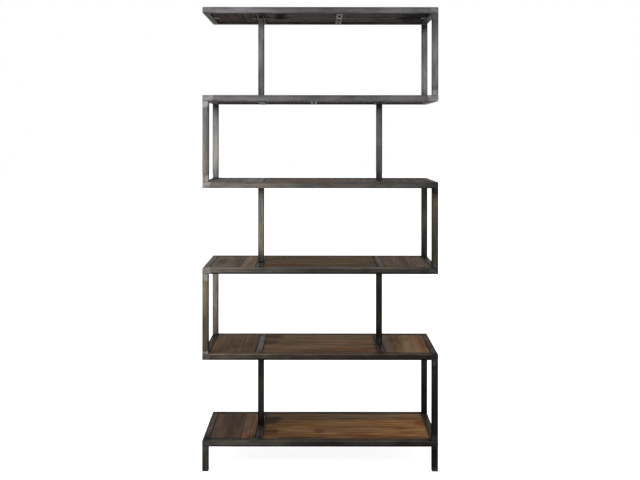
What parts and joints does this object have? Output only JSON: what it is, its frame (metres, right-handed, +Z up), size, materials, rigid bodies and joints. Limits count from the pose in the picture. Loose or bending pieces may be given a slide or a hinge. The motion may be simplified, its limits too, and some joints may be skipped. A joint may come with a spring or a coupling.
{
  "type": "etagere",
  "caption": "Tall zig-zag etagere: flat shelves of inset dark boards in welded square-tube frames, on end posts that change sides from bay to bay.",
  "frame": {"origin": "on the floor, under the middle of the etagere", "axes": "+X along the shelves to the right as seen from the front, +Y to the back, +Z up"},
  "size_m": [1.02, 0.4, 2.008],
  "materials": {
    "frame_steel": "satin",
    "post_steel": "satin",
    "crossbar_steel": "satin",
    "leg_steel": "satin",
    "end_board_wood": "matte",
    "plank_wood": "matte",
    "glide_plastic": "matte"
  },
  "bodies": {
    "root": {"leg_front_left": "leg_steel", "glide_front_left": "glide_plastic", "leg_front_right": "leg_steel", "glide_front_right": "glide_plastic", "leg_rear_left": "leg_steel", "glide_rear_left": "glide_plastic", "leg_rear_right": "leg_steel", "glide_rear_right": "glide_plastic", "shelf_1_frame": "frame_steel", "shelf_1_crossbar_left": "crossbar_steel", "shelf_1_left_boards": "end_board_wood", "shelf_1_planks": "plank_wood", "bay_1_end_post_front": "post_steel", "bay_1_end_post_rear": "post_steel", "bay_1_middle_post": "post_steel", "shelf_2_frame": "frame_steel", "shelf_2_crossbar_left": "crossbar_steel", "shelf_2_crossbar_right": "crossbar_steel", "shelf_2_left_boards": "end_board_wood", "shelf_2_planks": "plank_wood", "shelf_2_right_boards": "end_board_wood", "bay_2_end_post_front": "post_steel", "bay_2_end_post_rear": "post_steel", "bay_2_middle_post": "post_steel", "shelf_3_frame": "frame_steel", "shelf_3_crossbar_left": "crossbar_steel", "shelf_3_crossbar_right": "crossbar_steel", "shelf_3_left_boards": "end_board_wood", "shelf_3_planks": "plank_wood", "shelf_3_right_boards": "end_board_wood", "bay_3_end_post_front": "post_steel", "bay_3_end_post_rear": "post_steel", "bay_3_middle_post": "post_steel", "shelf_4_frame": "frame_steel", "shelf_4_crossbar_left": "crossbar_steel", "shelf_4_crossbar_right": "crossbar_steel", "shelf_4_left_boards": "end_board_wood", "shelf_4_planks": "plank_wood", "shelf_4_right_boards": "end_board_wood", "bay_4_end_post_front": "post_steel", "bay_4_end_post_rear": "post_steel", "bay_4_middle_post": "post_steel", "shelf_5_frame": "frame_steel", "shelf_5_crossbar_left": "crossbar_steel", "shelf_5_crossbar_right": "crossbar_steel", "shelf_5_left_boards": "end_board_wood", "shelf_5_planks": "plank_wood", "shelf_5_right_boards": "end_board_wood", "bay_5_end_post_front": "post_steel", "bay_5_end_post_rear": "post_steel", "bay_5_middle_post": "post_steel", "shelf_6_frame": "frame_steel", "shelf_6_crossbar_left": "crossbar_steel", "shelf_6_left_boards": "end_board_wood", "shelf_6_planks": "plank_wood"}
  },
  "joints": []
}
